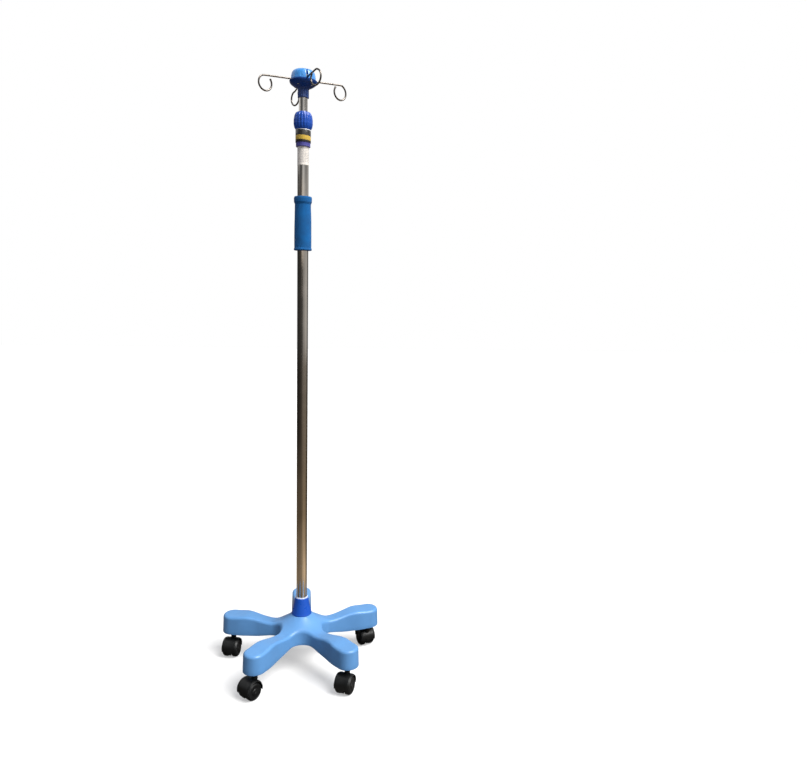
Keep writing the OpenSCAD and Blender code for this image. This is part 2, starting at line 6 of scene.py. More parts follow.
import bmesh
import bpy
from mathutils import Matrix, Vector, noise


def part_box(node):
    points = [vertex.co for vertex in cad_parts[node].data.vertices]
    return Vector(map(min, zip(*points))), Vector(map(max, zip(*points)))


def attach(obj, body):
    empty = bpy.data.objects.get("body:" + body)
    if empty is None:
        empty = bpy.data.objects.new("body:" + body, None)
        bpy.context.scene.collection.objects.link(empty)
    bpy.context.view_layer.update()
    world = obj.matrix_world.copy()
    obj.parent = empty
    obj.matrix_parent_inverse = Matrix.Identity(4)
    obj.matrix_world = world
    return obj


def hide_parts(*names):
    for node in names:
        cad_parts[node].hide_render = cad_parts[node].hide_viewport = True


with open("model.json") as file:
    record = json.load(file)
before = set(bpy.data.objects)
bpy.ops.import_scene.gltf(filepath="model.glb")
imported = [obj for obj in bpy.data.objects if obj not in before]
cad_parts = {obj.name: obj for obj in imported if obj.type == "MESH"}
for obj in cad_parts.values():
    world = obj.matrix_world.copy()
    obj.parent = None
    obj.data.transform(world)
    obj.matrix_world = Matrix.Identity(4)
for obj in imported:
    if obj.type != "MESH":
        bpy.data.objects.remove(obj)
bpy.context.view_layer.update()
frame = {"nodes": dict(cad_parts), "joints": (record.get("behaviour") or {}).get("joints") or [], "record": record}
JOINTS = {joint["name"]: joint for joint in frame["joints"]}
MM = 0.001


# ---------- small helpers ----------

def smooth(t):
    """Eases from 0 to 1 as t does."""
    t = min(max(t, 0.0), 1.0)
    return t * t * (3 - 2 * t)


def mix(a, b, t):
    """The value a part t of the way from a to b."""
    return a + (b - a) * t


def srgb(red, green, blue):
    """A linear colour with alpha from sRGB values of 0 to 255."""
    def linear(value):
        value /= 255
        return value / 12.92 if value <= 0.04045 else ((value + 0.055) / 1.055) ** 2.4
    return (linear(red), linear(green), linear(blue), 1.0)


def shade(colour, factor):
    """The colour made darker or lighter."""
    return tuple(min(channel * factor, 1.0) for channel in colour[:3]) + (1.0,)


def node_span(name):
    """Lowest z, highest z and outer radius of a CAD node that is round about the mast."""
    low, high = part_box(name)
    return low.z, high.z, high.x


# ---------- mesh building ----------

SAME_POINT = 1e-6
ROUNDING_SHARE = 0.48
NEARLY_STRAIGHT = radians(89.5)


def clean_mesh(name, points, faces):
    """A mesh with its doubled points merged and its faces turned outwards."""
    data = bpy.data.meshes.new(name)
    data.from_pydata(points, [], faces)
    shell = bmesh.new()
    shell.from_mesh(data)
    bmesh.ops.remove_doubles(shell, verts=shell.verts, dist=SAME_POINT)
    bmesh.ops.recalc_face_normals(shell, faces=shell.faces)
    shell.to_mesh(data)
    shell.free()
    return data


def in_scene(name, data):
    """An object of the data, linked to the scene."""
    made = bpy.data.objects.new(name, data)
    bpy.context.scene.collection.objects.link(made)
    return made


def piece(name, data, look, body, cad_node, sharp=40):
    """Makes an object that rides on a body and stands for a CAD node, in the look of its slot."""
    data.polygons.foreach_set("use_smooth", [True] * len(data.polygons))
    data.set_sharp_from_angle(angle=radians(sharp))
    data.materials.append(LOOKS[look])
    made = in_scene(name, data)
    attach(made, body)
    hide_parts(cad_node)
    return made


def rounded(corners, steps=5):
    """A closed outline through corners (x, y, radius), each rounded by its own radius.

    A rounding takes up no more than ROUNDING_SHARE of either side."""
    outline = []
    for i, (x, y, radius) in enumerate(corners):
        corner = Vector((x, y))
        before = Vector(corners[i - 1][:2]) - corner
        after = Vector(corners[(i + 1) % len(corners)][:2]) - corner
        half = before.angle(after) / 2
        if radius <= 0 or half > NEARLY_STRAIGHT:
            outline.append(corner)
            continue
        longest = [side.length * ROUNDING_SHARE for side in (before, after)]
        reach = min(radius / tan(half), *longest)
        back, onward = before.normalized(), after.normalized()
        centre = corner + (back + onward).normalized() * reach / cos(half)
        first = corner + back * reach - centre
        last = corner + onward * reach - centre
        turn = first.angle(last)
        for k in range(steps + 1):
            t = k / steps
            arc = first * sin((1 - t) * turn) + last * sin(t * turn)
            outline.append(centre + arc / sin(turn))
    return outline


def densified(outline, longest):
    """The closed outline with its long straight runs cut into shorter ones."""
    dense = []
    for i, point in enumerate(outline):
        following = outline[(i + 1) % len(outline)]
        count = max(1, int((following - point).length / longest))
        dense += [point.lerp(following, k / count) for k in range(count)]
    return dense


def lathe(outline, sides=96, start=0.0, sweep=tau, shape=None):
    """Points and faces of a closed (radius, height) outline turned about Z.

    shape(radius, height, angle) may return a changed radius and height."""
    whole = sweep == tau
    rings = sides if whole else sides + 1
    count = len(outline)
    points = []
    for i in range(rings):
        angle = start + sweep * i / sides
        for radius, height in outline:
            if shape:
                radius, height = shape(radius, height, angle)
            points.append((radius * cos(angle), radius * sin(angle), height))
    faces = []
    for i in range(sides):
        for k in range(count):
            a, b = i * count + k, i * count + (k + 1) % count
            shift = ((i + 1) % rings) * count - i * count
            faces.append((a, b, b + shift, a + shift))
    if not whole:
        faces.append(tuple(range(count)))
        faces.append(tuple(reversed(range(sides * count, (sides + 1) * count))))
    return points, faces


def swept(line, radii, across, sides=20):
    """Points and faces of a round wire along a line that starts square to the given direction."""
    points = []
    for i, (point, radius) in enumerate(zip(line, radii)):
        ahead = (line[min(i + 1, len(line) - 1)] - line[max(i - 1, 0)]).normalized()
        across = (across - across.dot(ahead) * ahead).normalized()
        up = across.cross(ahead)
        for k in range(sides):
            angle = tau * k / sides
            points.append(point + radius * (cos(angle) * up + sin(angle) * across))
    faces = []
    for i in range(len(line) - 1):
        for k in range(sides):
            a, b = i * sides + k, i * sides + (k + 1) % sides
            faces.append((a, b, b + sides, a + sides))
    faces.append(tuple(range(sides)))
    faces.append(tuple(reversed(range((len(line) - 1) * sides, len(line) * sides))))
    return points, faces


# ---------- material building ----------

def node(tree, kind, sockets=None, **settings):
    """Adds a shader node, sets its properties, and sets or links its sockets."""
    made = tree.nodes.new("ShaderNode" + kind)
    for name, value in settings.items():
        setattr(made, name, value)
    for name, value in (sockets or {}).items():
        if isinstance(value, bpy.types.NodeSocket):
            tree.links.new(value, made.inputs[name])
        else:
            made.inputs[name].default_value = value
    return made


def new_material(name, **constants):
    """A material with its Principled shader; constants go on the shader's own sockets."""
    material = bpy.data.materials.new(name)
    material.use_nodes = True
    tree = material.node_tree
    shader = tree.nodes["Principled BSDF"]
    for socket, value in constants.items():
        shader.inputs[socket.replace("_", " ")].default_value = value
    return material, tree, shader


def finish_look(tree, shader, tint, gloss, skin):
    """Links the colour, the roughness and the bumped normal to the shader."""
    for value, socket in ((tint, "Base Color"), (gloss, "Roughness"), (skin, "Normal")):
        tree.links.new(value, shader.inputs[socket])


def object_place(tree):
    """The object's own coordinates, in metres."""
    return node(tree, "TexCoord").outputs["Object"]


def clouds(tree, place, scale, detail=3.0, stretch=None):
    """A noise value between 0 and 1 whose features are about 1 / scale metres wide."""
    if stretch:
        place = node(tree, "Mapping", {"Vector": place, "Scale": stretch}).outputs["Vector"]
    made = node(tree, "TexNoise", {"Vector": place, "Scale": scale, "Detail": detail})
    return made.outputs["Fac"]


def ramp(tree, value, stops, interpolation="LINEAR"):
    """A colour ramp with stops (position, colour)."""
    made = node(tree, "ValToRGB", {"Fac": value})
    made.color_ramp.interpolation = interpolation
    elements = made.color_ramp.elements
    while len(elements) < len(stops):
        elements.new(1.0)
    for element, (position, colour) in zip(elements, stops):
        element.position = position
        element.color = colour
    return made.outputs["Color"]


def spread(tree, value, low, high, from_low=0.3, from_high=0.7):
    """Maps the value's middle range onto low to high."""
    made = node(tree, "MapRange", {
        "Value": value,
        "From Min": from_low,
        "From Max": from_high,
        "To Min": low,
        "To Max": high,
    })
    return made.outputs["Result"]


def math(tree, operation, first, second=0.0):
    """One operation on two values, each a number or a socket."""
    made = node(tree, "Math", operation=operation)
    for socket, value in zip(made.inputs, (first, second)):
        if isinstance(value, bpy.types.NodeSocket):
            tree.links.new(value, socket)
        else:
            socket.default_value = value
    return made.outputs[0]


def blend_colours(tree, share, first, second, how="MIX"):
    """The first colour mixed with, or multiplied by, a share of the second one."""
    made = node(tree, "Mix", data_type="RGBA", blend_type=how)
    for socket, value in ((0, share), (6, first), (7, second)):
        if isinstance(value, bpy.types.NodeSocket):
            tree.links.new(value, made.inputs[socket])
        else:
            made.inputs[socket].default_value = value
    return made.outputs[2]


def bump(tree, height, strength, distance):
    """A normal tilted by the slope of the height."""
    made = node(tree, "Bump", {"Height": height, "Strength": strength, "Distance": distance})
    return made.outputs["Normal"]


def plastic(name, colour, roughness=0.38, mottle=0.05, grain=0.9 * MM, depth=0.02 * MM,
            wear=0.25, **constants):
    """Moulded plastic: clouded pigment, an eggshell grain, edges paled by rubbing and by a painted highlight, and
    uneven gloss.
    """
    material, tree, shader = new_material(name, **constants)
    place = object_place(tree)
    tint = ramp(tree, clouds(tree, place, 22, 4), [
        (0.30, shade(colour, 1 - mottle)),
        (0.70, shade(colour, 1 + mottle)),
    ])
    # Convex edges turn pale: partly rubbed wear, partly a painted highlight where the edges would catch the light.
    edge = spread(tree, node(tree, "NewGeometry").outputs["Pointiness"], 0, wear, 0.52, 0.60)
    rubbed_and_highlit = math(tree, "MULTIPLY", edge, clouds(tree, place, 90, 5))
    pale = mix(Vector(colour[:3]), Vector((1, 1, 1)), 0.35)
    tint = blend_colours(tree, rubbed_and_highlit, tint, (*pale, 1.0))
    gloss = spread(tree, clouds(tree, place, 60, 5), roughness * 0.82, roughness * 1.22)
    skin = bump(tree, clouds(tree, place, 1 / grain, 2), 0.5, depth)
    finish_look(tree, shader, tint, gloss, skin)
    return material


def metal(name, colour, roughness, scale, stretch=(1, 1, 1), depth=0.004 * MM, spots=0.06):
    """Bare metal: polishing marks drawn out along one direction, and smudges in the gloss."""
    material, tree, shader = new_material(name, Metallic=1.0)
    place = object_place(tree)
    marks = clouds(tree, place, scale, 3, stretch)
    smudge = clouds(tree, place, 28, 5)
    tint = ramp(tree, smudge, [
        (0.30, shade(colour, 1 - spots)),
        (0.70, shade(colour, 1 + spots)),
    ])
    some_marks = math(tree, "MULTIPLY", marks, 0.4)
    both = math(tree, "ADD", some_marks, math(tree, "MULTIPLY", smudge, 0.6))
    gloss = spread(tree, both, roughness * 0.6, roughness * 1.5)
    finish_look(tree, shader, tint, gloss, bump(tree, marks, 0.4, depth))
    return material


def foam(name, colour):
    """Closed cell foam rubber: open pores, a dull nap, and painted shade that darkens the pores' hollows."""
    material, tree, shader = new_material(
        name, Sheen_Weight=0.08, Sheen_Roughness=0.5, Specular_IOR_Level=0.3)
    place = object_place(tree)
    cells = node(tree, "TexVoronoi", {"Vector": place, "Scale": 900.0}).outputs["Distance"]
    body = clouds(tree, place, 35, 5)
    tint = ramp(tree, body, [(0.30, shade(colour, 0.80)), (0.70, shade(colour, 1.14))])
    # Painted shade: the tint darkens towards each pore's middle, where the bump sinks.
    pore_shade = spread(tree, cells, 0.55, 1.0, 0.02, 0.35)
    tint = blend_colours(tree, 1.0, tint, pore_shade, "MULTIPLY")
    relief = math(tree, "ADD", cells, math(tree, "MULTIPLY", clouds(tree, place, 300, 4), 0.8))
    finish_look(tree, shader, tint, spread(tree, body, 0.82, 0.95),
                bump(tree, relief, 0.7, 0.35 * MM))
    return material


def printed_film(name, low, high, bands, roughness=0.3):
    """Printed film round the mast: bands (share of the height, colour) from the bottom up."""
    material, tree, shader = new_material(name, Coat_Weight=0.4, Coat_Roughness=0.12)
    place = object_place(tree)
    axes = node(tree, "SeparateXYZ", {"Vector": place})
    sway = math(tree, "MULTIPLY", axes.outputs["X"], 0.05)
    height = math(tree, "ADD", axes.outputs["Z"], sway)
    share = spread(tree, height, 0, 1, low, high)
    tint = ramp(tree, share, bands, "CONSTANT")
    fade = clouds(tree, place, 160, 5)
    tint = blend_colours(tree, spread(tree, fade, 0.0, 0.22), tint, srgb(120, 115, 105))
    finish_look(tree, shader, tint, spread(tree, fade, roughness, roughness * 1.5),
                bump(tree, clouds(tree, place, 420, 3), 0.3, 0.05 * MM))
    return material


LABEL_ROW = 4.4 * MM


def label_paper(name, low, high):
    """A white label with plain grey dashes where a real one has its print."""
    material, tree, shader = new_material(name, Coat_Weight=0.25, Coat_Roughness=0.2)
    place = object_place(tree)
    axes = node(tree, "SeparateXYZ", {"Vector": place})
    around = math(tree, "ARCTAN2", axes.outputs["Y"], axes.outputs["X"])
    rows = math(tree, "MULTIPLY", axes.outputs["Z"], 1 / LABEL_ROW)
    row = math(tree, "FLOOR", rows)
    in_row = math(tree, "LESS_THAN", math(tree, "FRACT", rows), 0.34)
    flat = node(tree, "CombineXYZ", {"X": around, "Y": row}).outputs["Vector"]
    words = node(tree, "TexNoise", {"Vector": flat, "Scale": 7.0, "Detail": 1.0}).outputs["Fac"]
    dashes = math(tree, "MULTIPLY", in_row, math(tree, "GREATER_THAN", words, 0.5))
    middle = math(tree, "MULTIPLY",
                  math(tree, "GREATER_THAN", axes.outputs["Z"], mix(low, high, 0.12)),
                  math(tree, "LESS_THAN", axes.outputs["Z"], mix(low, high, 0.88)))
    print_mask = math(tree, "MULTIPLY", math(tree, "MULTIPLY", dashes, middle), 0.75)
    paper = ramp(tree, clouds(tree, place, 70, 4), [
        (0.3, srgb(224, 216, 206)),
        (0.7, srgb(242, 236, 228)),
    ])
    tint = blend_colours(tree, print_mask, paper, srgb(120, 124, 136))
    finish_look(tree, shader, tint, spread(tree, clouds(tree, place, 120), 0.4, 0.6),
                bump(tree, clouds(tree, place, 300, 3), 0.3, 0.04 * MM))
    return material


LABEL_LOW, LABEL_HIGH, LABEL_R = node_span("info_label")
BAND_LOW, BAND_HIGH, BAND_R = node_span("band_sleeve")

BLACK_INK = srgb(14, 13, 14)
BANDS = [
    (0.0, BLACK_INK),
    (0.17, srgb(222, 184, 62)),
    (0.51, BLACK_INK),
    (0.95, srgb(214, 216, 220)),
]
# Each slot of the record: how its material is built, its colour, and what sets it apart.
RECIPES = {
    "base_plastic": (plastic, srgb(90, 142, 196), dict(
        roughness=0.36, mottle=0.03, grain=1.1 * MM, depth=0.03 * MM)),
    "frame_plastic": (plastic, srgb(58, 62, 70), dict(roughness=0.5, mottle=0.10)),
    "royal_plastic": (plastic, srgb(20, 76, 172), dict(roughness=0.30, mottle=0.06)),
    "head_plastic": (plastic, srgb(8, 58, 128), dict(
        roughness=0.40, mottle=0.08, Specular_IOR_Level=0.35)),
    "cap_plastic": (plastic, srgb(66, 146, 220), dict(
        roughness=0.28, mottle=0.05, Coat_Weight=0.5, Coat_Roughness=0.2)),
    "lock_plastic": (plastic, srgb(72, 70, 150), dict(roughness=0.30, mottle=0.08)),
    "caster_nylon": (plastic, srgb(15, 16, 17), dict(
        roughness=0.44, mottle=0.15, grain=0.7 * MM, depth=0.03 * MM, wear=0.3,
        Specular_IOR_Level=0.35)),
    "wheel_nylon": (plastic, srgb(12, 13, 14), dict(
        roughness=0.55, mottle=0.20, grain=0.8 * MM, depth=0.04 * MM, wear=0.3,
        Specular_IOR_Level=0.3)),
    "nylon_white": (plastic, srgb(192, 202, 228), dict(roughness=0.35, mottle=0.04)),
    "polished_steel": (metal, srgb(206, 200, 192), dict(
        roughness=0.13, scale=700, stretch=(1, 1, 0.02))),
    "hook_wire": (metal, srgb(120, 114, 108), dict(roughness=0.24, scale=500, depth=0.001 * MM)),
    "zinc_steel": (metal, srgb(190, 190, 186), dict(roughness=0.34, scale=300, spots=0.12)),
    "dark_steel": (metal, srgb(92, 92, 92), dict(roughness=0.42, scale=300, spots=0.15)),
    "blue_foam": (foam, srgb(6, 90, 152), {}),
}
LOOKS = {slot: build(slot, colour, **extras) for slot, (build, colour, extras) in RECIPES.items()}
LOOKS["label_film"] = label_paper("label_film", LABEL_LOW, LABEL_HIGH)
LOOKS["band_film"] = printed_film("band_film", BAND_LOW, BAND_HIGH, BANDS)


def repaint_cad_nodes():
    """Gives every CAD node the procedural look of its slot in the record."""
    for part in frame["record"]["subparts"]:
        materials = frame["nodes"][part["node"]].data.materials
        materials.clear()
        materials.append(LOOKS[part["material_slot"]])


# ---------- base cover ----------

ARMS = 5
ARM_STEP = tau / ARMS
STEM_1 = Vector(JOINTS["caster_1_swivel"]["pos_m"])
FIRST_ARM = atan2(STEM_1.y, STEM_1.x)
STEM_CIRCLE = STEM_1.xy.length
ARM_HALF = 23 * MM     # half an arm's width where it leaves the hub
TIP_HALF = 31 * MM     # the radius of its round end, over the stem
VALLEY = 41 * MM       # the radius of the outline between two arms
EDGE = 9 * MM          # the rounding along the top edge
WALL = 3 * MM
DRAFT = 1.6 * MM       # how far the side wall leans out on its way down
RIM_ROUND = 1 * MM
CROWN_HOLE = 17 * MM
RIM_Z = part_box("base_shell")[0].z
CROWN_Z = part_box("base_shell")[1].z
DIP_R, DIP_Z = 92 * MM, 121 * MM
SHOULDER_R, SHOULDER_Z = 178 * MM, 134 * MM


def cover_top(r):
    """Height of the cover's top at distance r from the mast's axis.

    It falls from the crown to the dip, rises to the shoulder and sinks a little to the tip."""
    crown = (CROWN_Z - DIP_Z) * min(max((DIP_R - r) / (62 * MM), 0), 1) ** 1.6
    shoulder = (SHOULDER_Z - DIP_Z) * smooth((r - DIP_R) / (86 * MM))
    return DIP_Z + crown + shoulder - 3 * MM * smooth((r - SHOULDER_R) / (40 * MM))


def cover_rim(r):
    """Height of the cover's lower edge at distance r."""
    return RIM_Z + 9 * MM * smooth((150 * MM - r) / (75 * MM))


def star_outline(tip_steps=16, edge_steps=26, fillet_steps=14):
    """The cover's outline seen from above, and its outward directions."""
    half_step = ARM_STEP / 2
    fillet_centre = (ARM_HALF + VALLEY) / sin(half_step)
    straight_from = fillet_centre * cos(half_step)
    half = []
    for i in range(tip_steps):
        angle = pi / 2 * i / tip_steps
        half.append(Vector((STEM_CIRCLE + TIP_HALF * cos(angle), TIP_HALF * sin(angle))))
    for i in range(edge_steps):
        x = mix(STEM_CIRCLE, straight_from, i / edge_steps)
        widening = smooth((x - 130 * MM) / (70 * MM))
        half.append(Vector((x, mix(ARM_HALF, TIP_HALF, widening))))
    middle = Vector((cos(half_step), sin(half_step))) * fillet_centre
    for i in range(fillet_steps + 1):
        angle = -pi / 2 - (pi / 2 - half_step) * i / fillet_steps
        half.append(middle + Vector((cos(angle), sin(angle))) * VALLEY)
    arm = [Vector((p.x, -p.y)) for p in reversed(half[1:])] + half[:-1]
    outline = []
    for k in range(ARMS):
        turn = Matrix.Rotation(FIRST_ARM + k * ARM_STEP, 2)
        outline += [turn @ p for p in arm]
    outward = []
    for i, point in enumerate(outline):
        along = (outline[(i + 1) % len(outline)] - outline[i - 1]).normalized()
        outward.append(Vector((along.y, -along.x)))
    return outline, outward


def make_base_cover():
    """The cover as rings: up the outside from the crown to the rim, and back along the inside."""
    outline, outward = star_outline()

    def skin(inset, drop):
        """A ring near the outline, this far in from it and below the top."""
        ring = [p - inset * n for p, n in zip(outline, outward)]
        return [(q.x, q.y, cover_top(q.length) - drop) for q in ring]

    def rim(inset, lift):
        """A ring at the lower edge, this far in from the outline and above the edge."""
        return [(*(p - inset * n), cover_rim(p.length) + lift) for p, n in zip(outline, outward)]

    def roof(drop, t):
        """A ring on the top, a part t of the way from the edge's rounding to the crown's hole."""
        ring = []
        for p, n in zip(outline, outward):
            inner = p - EDGE * n
            q = inner.lerp(inner.normalized() * CROWN_HOLE, t)
            ring.append((q.x, q.y, cover_top(q.length) - drop))
        return ring

    def side(t):
        """A ring on the side wall, a part t of the way down."""
        ring = []
        for p, n in zip(outline, outward):
            q = p + DRAFT * t * n
            high, low = cover_top(p.length) - EDGE, cover_rim(p.length) + RIM_ROUND
            ring.append((q.x, q.y, mix(high, low, t)))
        return ring

    roof_steps = [1 - (1 - i / 22) ** 1.15 for i in range(23)]
    rings = [roof(0, t) for t in reversed(roof_steps)]
    for i in range(1, 11):
        angle = pi / 2 * (1 - i / 10)
        rings.append(skin(EDGE * (1 - cos(angle)), EDGE * (1 - sin(angle))))
    rings += [side(t) for t in (0.25, 0.5, 0.75, 1.0)]
    for i in range(1, 4):
        angle = pi / 2 * i / 3
        rings.append(rim(RIM_ROUND * (1 - cos(angle)) - DRAFT, RIM_ROUND * (1 - sin(angle))))
    rings.append(rim(WALL - DRAFT, 0))
    for i in range(5):
        angle = pi / 2 * i / 4
        bend = EDGE - WALL
        rings.append(skin(WALL + bend * (1 - cos(angle)), WALL + bend * (1 - sin(angle))))
    rings += [roof(WALL, t) for t in roof_steps[1::2]]
    rings.append(roof(WALL, 1))
    count = len(outline)
    points = [point for ring in rings for point in ring]
    faces = []
    for j in range(len(rings)):
        for i in range(count):
            a, b = j * count + i, j * count + (i + 1) % count
            following = ((j + 1) % len(rings)) * count
            faces.append((a, b, following + (i + 1) % count, following + i))
    data = clean_mesh("base_cover", points, faces)
    piece("base_cover", data, "base_plastic", "base", "base_shell")


# ---------- round pieces on the mast ----------

ON_TUBE = 16.05 * MM   # the bore of what sits on the outer tube
FILM = 0.2 * MM        # the thickness of the label and of the banded film


def turned(name, corners, look, body, cad_node, sides=96, longest=None, shape=None, steps=5,
           sharp=40):
    """A piece turned about the mast's axis from corners (radius, height, rounding)."""
    outline = rounded(corners, steps)
    if longest:
        outline = densified(outline, longest)
    points, faces = lathe(outline, sides, shape=shape)
    return piece(name, clean_mesh(name, points, faces), look, body, cad_node, sharp)


def make_collar():
    """The tapered collar at the foot of the tube, and the pale lip inside it."""
    low, high, foot_r = node_span("base_collar")
    neck_r = 19.6 * MM
    turned("collar", [
        (foot_r - 3.2 * MM, low, 0),
        (foot_r, low, 0.5 * MM),
        (foot_r, low + 3 * MM, 1.2 * MM),
        (foot_r - 0.8 * MM, low + 5 * MM, 2 * MM),
        (neck_r + 0.6 * MM, high - 1.2 * MM, 2 * MM),
        (neck_r, high, 0.8 * MM),
        (neck_r - 1.7 * MM, high, 0.3 * MM),
        (neck_r - 1.7 * MM, high - 3 * MM, 0),
        (foot_r - 3.8 * MM, low + 4 * MM, 0),
    ], "royal_plastic", "base", "base_collar", longest=6 * MM)
    low, high, lip_r = node_span("collar_liner")
    turned("collar_lip", [
        (ON_TUBE, low, 0),
        (lip_r - 1.4 * MM, low, 0),
        (lip_r - 1.4 * MM, high - 2.3 * MM, 0.1 * MM),
        (lip_r, high - 2.3 * MM, 0.2 * MM),
        (lip_r, high, 1.1 * MM),
        (ON_TUBE, high, 0.3 * MM),
    ], "nylon_white", "base", "collar_liner")


def make_tube(name, cad_node, wall, body):
    """One of the mast's two tubes, with its ends broken."""
    low, high, r = node_span(cad_node)
    turned(name, [
        (r - wall, low, 0.2 * MM),
        (r, low, 0.4 * MM),
        (r, high, 0.4 * MM),
        (r - wall, high, 0.2 * MM),
    ], "polished_steel", body, cad_node, sides=128)


def grip_waviness(radius, height, angle):
    """Foam rubber never sits quite round: it swells and sags a little."""
    place = Vector((cos(angle) * 0.9, sin(angle) * 0.9, height * 28))
    swell = noise.noise(place) * 0.35 * MM
    share = smooth((radius - 20 * MM) / (3 * MM))
    return radius + swell * share, height


def make_grip():
    """The foam grip: a lip at each end and a belly that thins towards the top."""
    low, high, lip_r = node_span("foam_grip")
    made = turned("grip_sleeve", [
        (ON_TUBE, low + 1 * MM, 0.4 * MM),
        (ON_TUBE + 3 * MM, low + 0.4 * MM, 1 * MM),
        (lip_r - 0.9 * MM, low + 0.4 * MM, 0.9 * MM),
        (lip_r - 0.4 * MM, low + 3.6 * MM, 1.8 * MM),
        (24.2 * MM, low + 7.5 * MM, 4 * MM),
        (24.6 * MM, low + 40 * MM, 30 * MM),
        (24.2 * MM, low + 80 * MM, 30 * MM),
        (23.2 * MM, low + 118 * MM, 20 * MM),
        (23.0 * MM, high - 21.5 * MM, 4 * MM),
        (lip_r - 0.7 * MM, high - 15.5 * MM, 2.5 * MM),
        (lip_r - 0.4 * MM, high - 5 * MM, 3 * MM),
        (lip_r - 1.6 * MM, high - 0.3 * MM, 1.6 * MM),
        (ON_TUBE + 2 * MM, high - 0.3 * MM, 1 * MM),
        (ON_TUBE, high - 1.2 * MM, 0.4 * MM),
    ], "blue_foam", "base", "foam_grip", sides=144, longest=2 * MM, shape=grip_waviness, sharp=60)


def make_label():
    """The label, wrapped most of the way round the tube with its gap at the back."""
    outline = [Vector(p) for p in (
        (LABEL_R - FILM, LABEL_LOW),
        (LABEL_R, LABEL_LOW),
        (LABEL_R, LABEL_HIGH),
        (LABEL_R - FILM, LABEL_HIGH),
    )]
    points, faces = lathe(outline, 110, start=radians(105), sweep=radians(330))
    piece("tube_label", clean_mesh("tube_label", points, faces), "label_film", "base", "info_label")


def make_band():
    """The banded film round the lock body."""
    turned("band_wrap", [
        (BAND_R - FILM, BAND_LOW, 0),
        (BAND_R, BAND_LOW, 0.08 * MM),
        (BAND_R, BAND_HIGH, 0.08 * MM),
        (BAND_R - FILM, BAND_HIGH, 0),
    ], "band_film", "base", "band_sleeve", sides=128, steps=2)


KNOB_FLUTES = 18
FLUTE_DEPTH = 1.35 * MM
FLUTE_FROM_R = 20 * MM


def make_knob():
    """The lock's fluted knob, hollow where it screws over the collet."""
    low, high, knob_r = node_span("lock_knob")
    bore, thread_bore = 13.3 * MM, 19.3 * MM

    def flutes(radius, height, angle):
        """Finger flutes that run out towards the lower edge and the crown."""
        if radius < FLUTE_FROM_R:
            return radius, height
        above_edge = smooth((height - low - 1.5 * MM) / (4 * MM))
        share = above_edge * smooth((radius - FLUTE_FROM_R) / (3.5 * MM))
        crest = 0.5 + 0.5 * cos(KNOB_FLUTES * angle)
        groove = smooth((0.62 - crest) / 0.62)
        return radius - FLUTE_DEPTH * groove * share, height

    turned("twist_knob", [
        (thread_bore, low, 0.4 * MM),
        (21.9 * MM, low, 1.6 * MM),
        (25.4 * MM, low + 6.5 * MM, 8 * MM),
        (knob_r, low + 15 * MM, 9 * MM),
        (knob_r - 0.2 * MM, low + 27 * MM, 9 * MM),
        (25.0 * MM, low + 38 * MM, 8 * MM),
        (21.6 * MM, high - 2.6 * MM, 5 * MM),
        (16.5 * MM, high, 3 * MM),
        (bore, high, 0.5 * MM),
        (bore, high - 6 * MM, 0.5 * MM),
        (15.2 * MM, high - 6.6 * MM, 0.3 * MM),
        (18.6 * MM, low + 25 * MM, 0.5 * MM),
        (thread_bore, low + 23 * MM, 0.5 * MM),
    ], "royal_plastic", "lock_knob", "lock_knob", sides=KNOB_FLUTES * 16, longest=1.6 * MM,
        shape=flutes, sharp=50)


# ---------- hooks ----------

def make_hook(side):
    """One wire hook: an eye on its pivot, a straight arm, and an open loop with a ball at its end.

    The loop hangs below the arm and is turned out of the arm's line."""
    joint = JOINTS["hook_" + side + "_fold"]
    pivot = Vector(joint["pos_m"])
    across = Vector(joint["axis"]).normalized()
    out = Vector((pivot.x, pivot.y, 0)).normalized()
    up = Vector((0, 0, 1))
    wire, eye, loop, ball = 2.4 * MM, 5 * MM, 20.5 * MM, 3 * MM
    arm_length, loop_turn, bend_share = 87 * MM, radians(21), 0.12
    arm = pivot - eye * up
    centre = arm + arm_length * out - loop * up
    line, radii = [], []

    def add(point, radius=wire):
        line.append(point)
        radii.append(radius)

    def around(middle, reach, angle, turn=0.0):
        outwards = Matrix.Rotation(turn, 3, "Z") @ out
        return middle + reach * (cos(angle) * outwards + sin(angle) * up)

    start, end = radians(-10), radians(270)
    first = around(pivot, eye, start)
    back = around(pivot, eye, start - 0.06) - first
    # The wire's cut end, with its edge broken, and then the eye, the arm and the loop.
    add(first + back * 0.9, wire * 0.80)
    add(first + back * 0.4, wire * 0.96)
    for k in range(37):
        add(around(pivot, eye, mix(start, end, k / 36)))
    for k in range(1, 24):
        add(arm + out * arm_length * k / 24)
    for k in range(73):
        turn = loop_turn * smooth(k / 72 / bend_share)
        add(around(centre, loop, radians(mix(90, -215, k / 72)), turn))
    tip = line[-1]
    ahead = (line[-1] - line[-2]).normalized()
    ball_rings = 8
    for k in range(1, ball_rings + 1):
        slide = mix(-1.8 * MM, 2.96 * MM, k / ball_rings)
        add(tip + ahead * slide, sqrt(ball ** 2 - slide ** 2))
    # The wire's own last rings would lie inside the ball, so they are dropped.
    last = -1 - ball_rings
    while (line[last] - tip).dot(ahead) > -1.2 * MM and (line[last] - tip).length < ball:
        del line[last], radii[last]
    name = "hook_wire_" + side
    piece(name, clean_mesh(name, *swept(line, radii, across)), "hook_wire", "hook_" + side,
          "hook_" + side)


# ---------- casters ----------

AXLE_1 = Vector(JOINTS["caster_1_roll_a"]["pos_m"])
WHEEL_R = AXLE_1.z
TRAIL = (AXLE_1 - STEM_1).xy.length     # how far the axle lies behind the stem
HOOD_R = 29.5 * MM
HOOD_RISE = 3 * MM     # the hood's centre line runs this far above the axle
HOOD_HALF = 24 * MM
HOOD_WALL = 3.0 * MM
HOOD_TOP = 74.6 * MM
NECK_HALF_LENGTH = 9.5 * MM
NECK_HALF_WIDTH = 7 * MM


